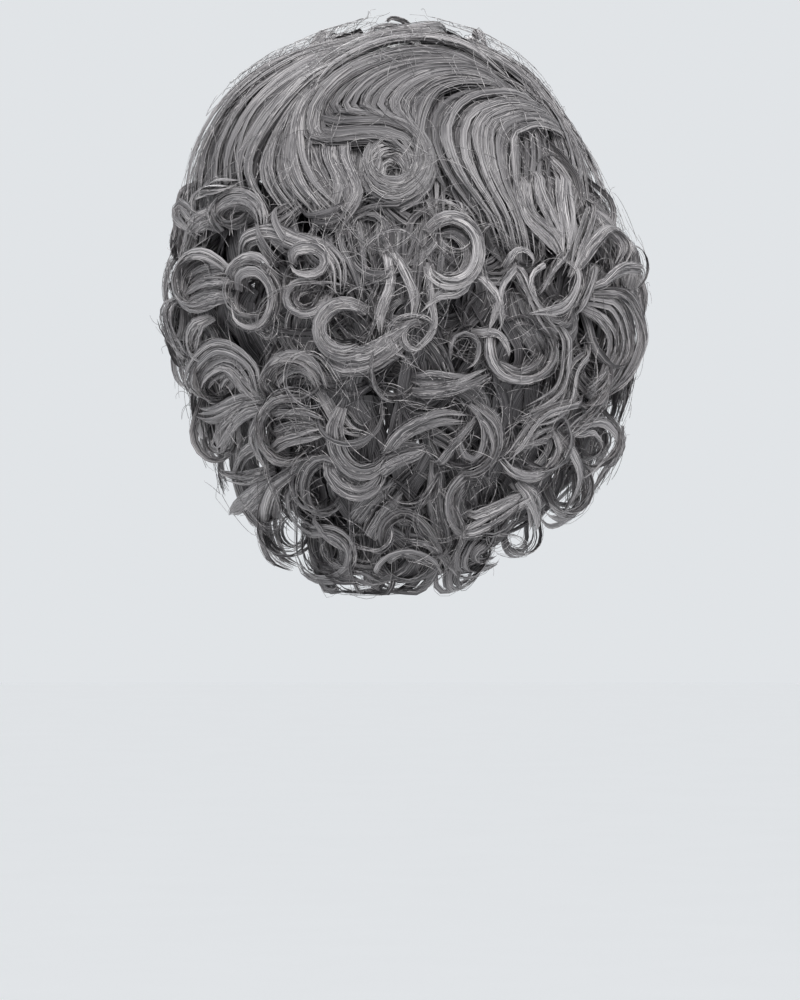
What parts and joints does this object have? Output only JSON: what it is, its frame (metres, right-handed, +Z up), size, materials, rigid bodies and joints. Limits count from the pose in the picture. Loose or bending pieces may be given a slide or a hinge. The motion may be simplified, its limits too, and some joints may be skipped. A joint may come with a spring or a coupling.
{
  "type": "lace front wig",
  "caption": "Short grey curly lace front wig: a hollow cap with a lace strip at the forehead, waved hair over the crown and ring curls down the back and sides.",
  "frame": {"origin": "middle of the head at its widest girth, inside the cap", "axes": "+Z up, +Y to the back of the head, +X to the wearer's left"},
  "size_m": [0.305, 0.2777, 0.3453],
  "materials": {
    "cap_cloth": "dark knitted cap cloth",
    "lace": "fine pale lace net",
    "hair": "grey synthetic hair with a soft sheen"
  },
  "bodies": {
    "root": {"cap": "cap_cloth", "lace_front": "lace", "crown_hair": "hair", "front_hair": "hair", "back_hair": "hair", "left_side_hair": "hair", "right_side_hair": "hair", "nape_hair": "hair"}
  },
  "joints": []
}
